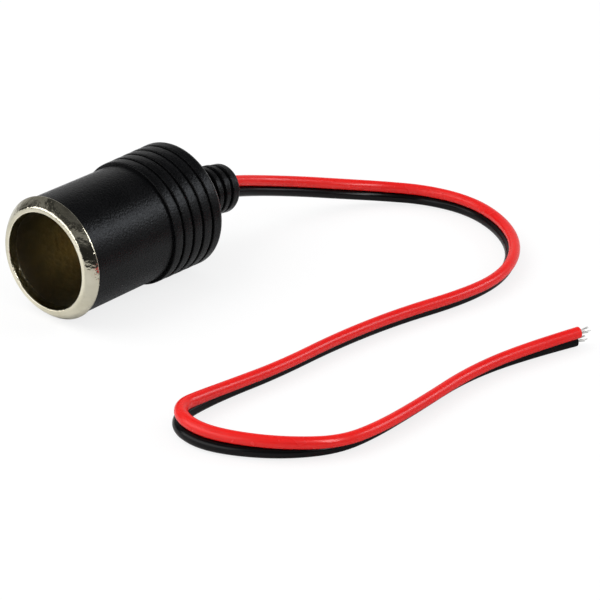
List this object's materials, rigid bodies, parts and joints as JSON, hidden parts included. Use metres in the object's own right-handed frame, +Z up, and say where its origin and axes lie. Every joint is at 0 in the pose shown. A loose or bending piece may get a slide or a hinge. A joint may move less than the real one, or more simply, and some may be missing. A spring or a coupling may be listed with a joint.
{
  "type": "car power socket",
  "caption": "In-line car accessory power socket: plated sleeve with a rolled mouth in a black barrel, ribbed rear boot with strain relief, and a red and black lead with bare ends.",
  "frame": {"origin": "on the floor under the middle of the socket's length and width, measured without the free lead", "axes": "+Y along the socket's axis from the mouth to the strain relief, +Z up, with the socket lying on its side on its collar"},
  "size_m": [0.1082, 0.1238, 0.0284],
  "materials": {
    "plated_sheet": "bright nickel plate on drawn steel, warm white",
    "barrel_plastic": "satin black moulding with a fine grain",
    "boot_rubber": "soft black moulding, satin",
    "insulator_board": "brown laminated board",
    "contact_metal": "brass, lightly worn where the plug's tip bears",
    "tag_metal": "stamped brass",
    "solder": "bright solder",
    "tinned_wire": "tinned copper",
    "red_sheath": "glossy red soft sheath",
    "black_sheath": "glossy black soft sheath"
  },
  "bodies": {
    "root": {"socket_sleeve": "plated_sheet", "barrel": "barrel_plastic", "floor_insulator": "insulator_board", "rear_insulator": "insulator_board", "centre_contact": "contact_metal", "positive_tag": "tag_metal", "negative_tag": "tag_metal", "red_lead_inside": "red_sheath", "black_lead_inside": "black_sheath", "red_conductor": "tinned_wire", "black_conductor": "tinned_wire", "positive_solder": "solder", "negative_solder": "solder", "rear_boot": "boot_rubber", "red_core": "red_sheath", "black_core": "black_sheath", "red_strands": "tinned_wire", "black_strands": "tinned_wire"}
  },
  "joints": []
}
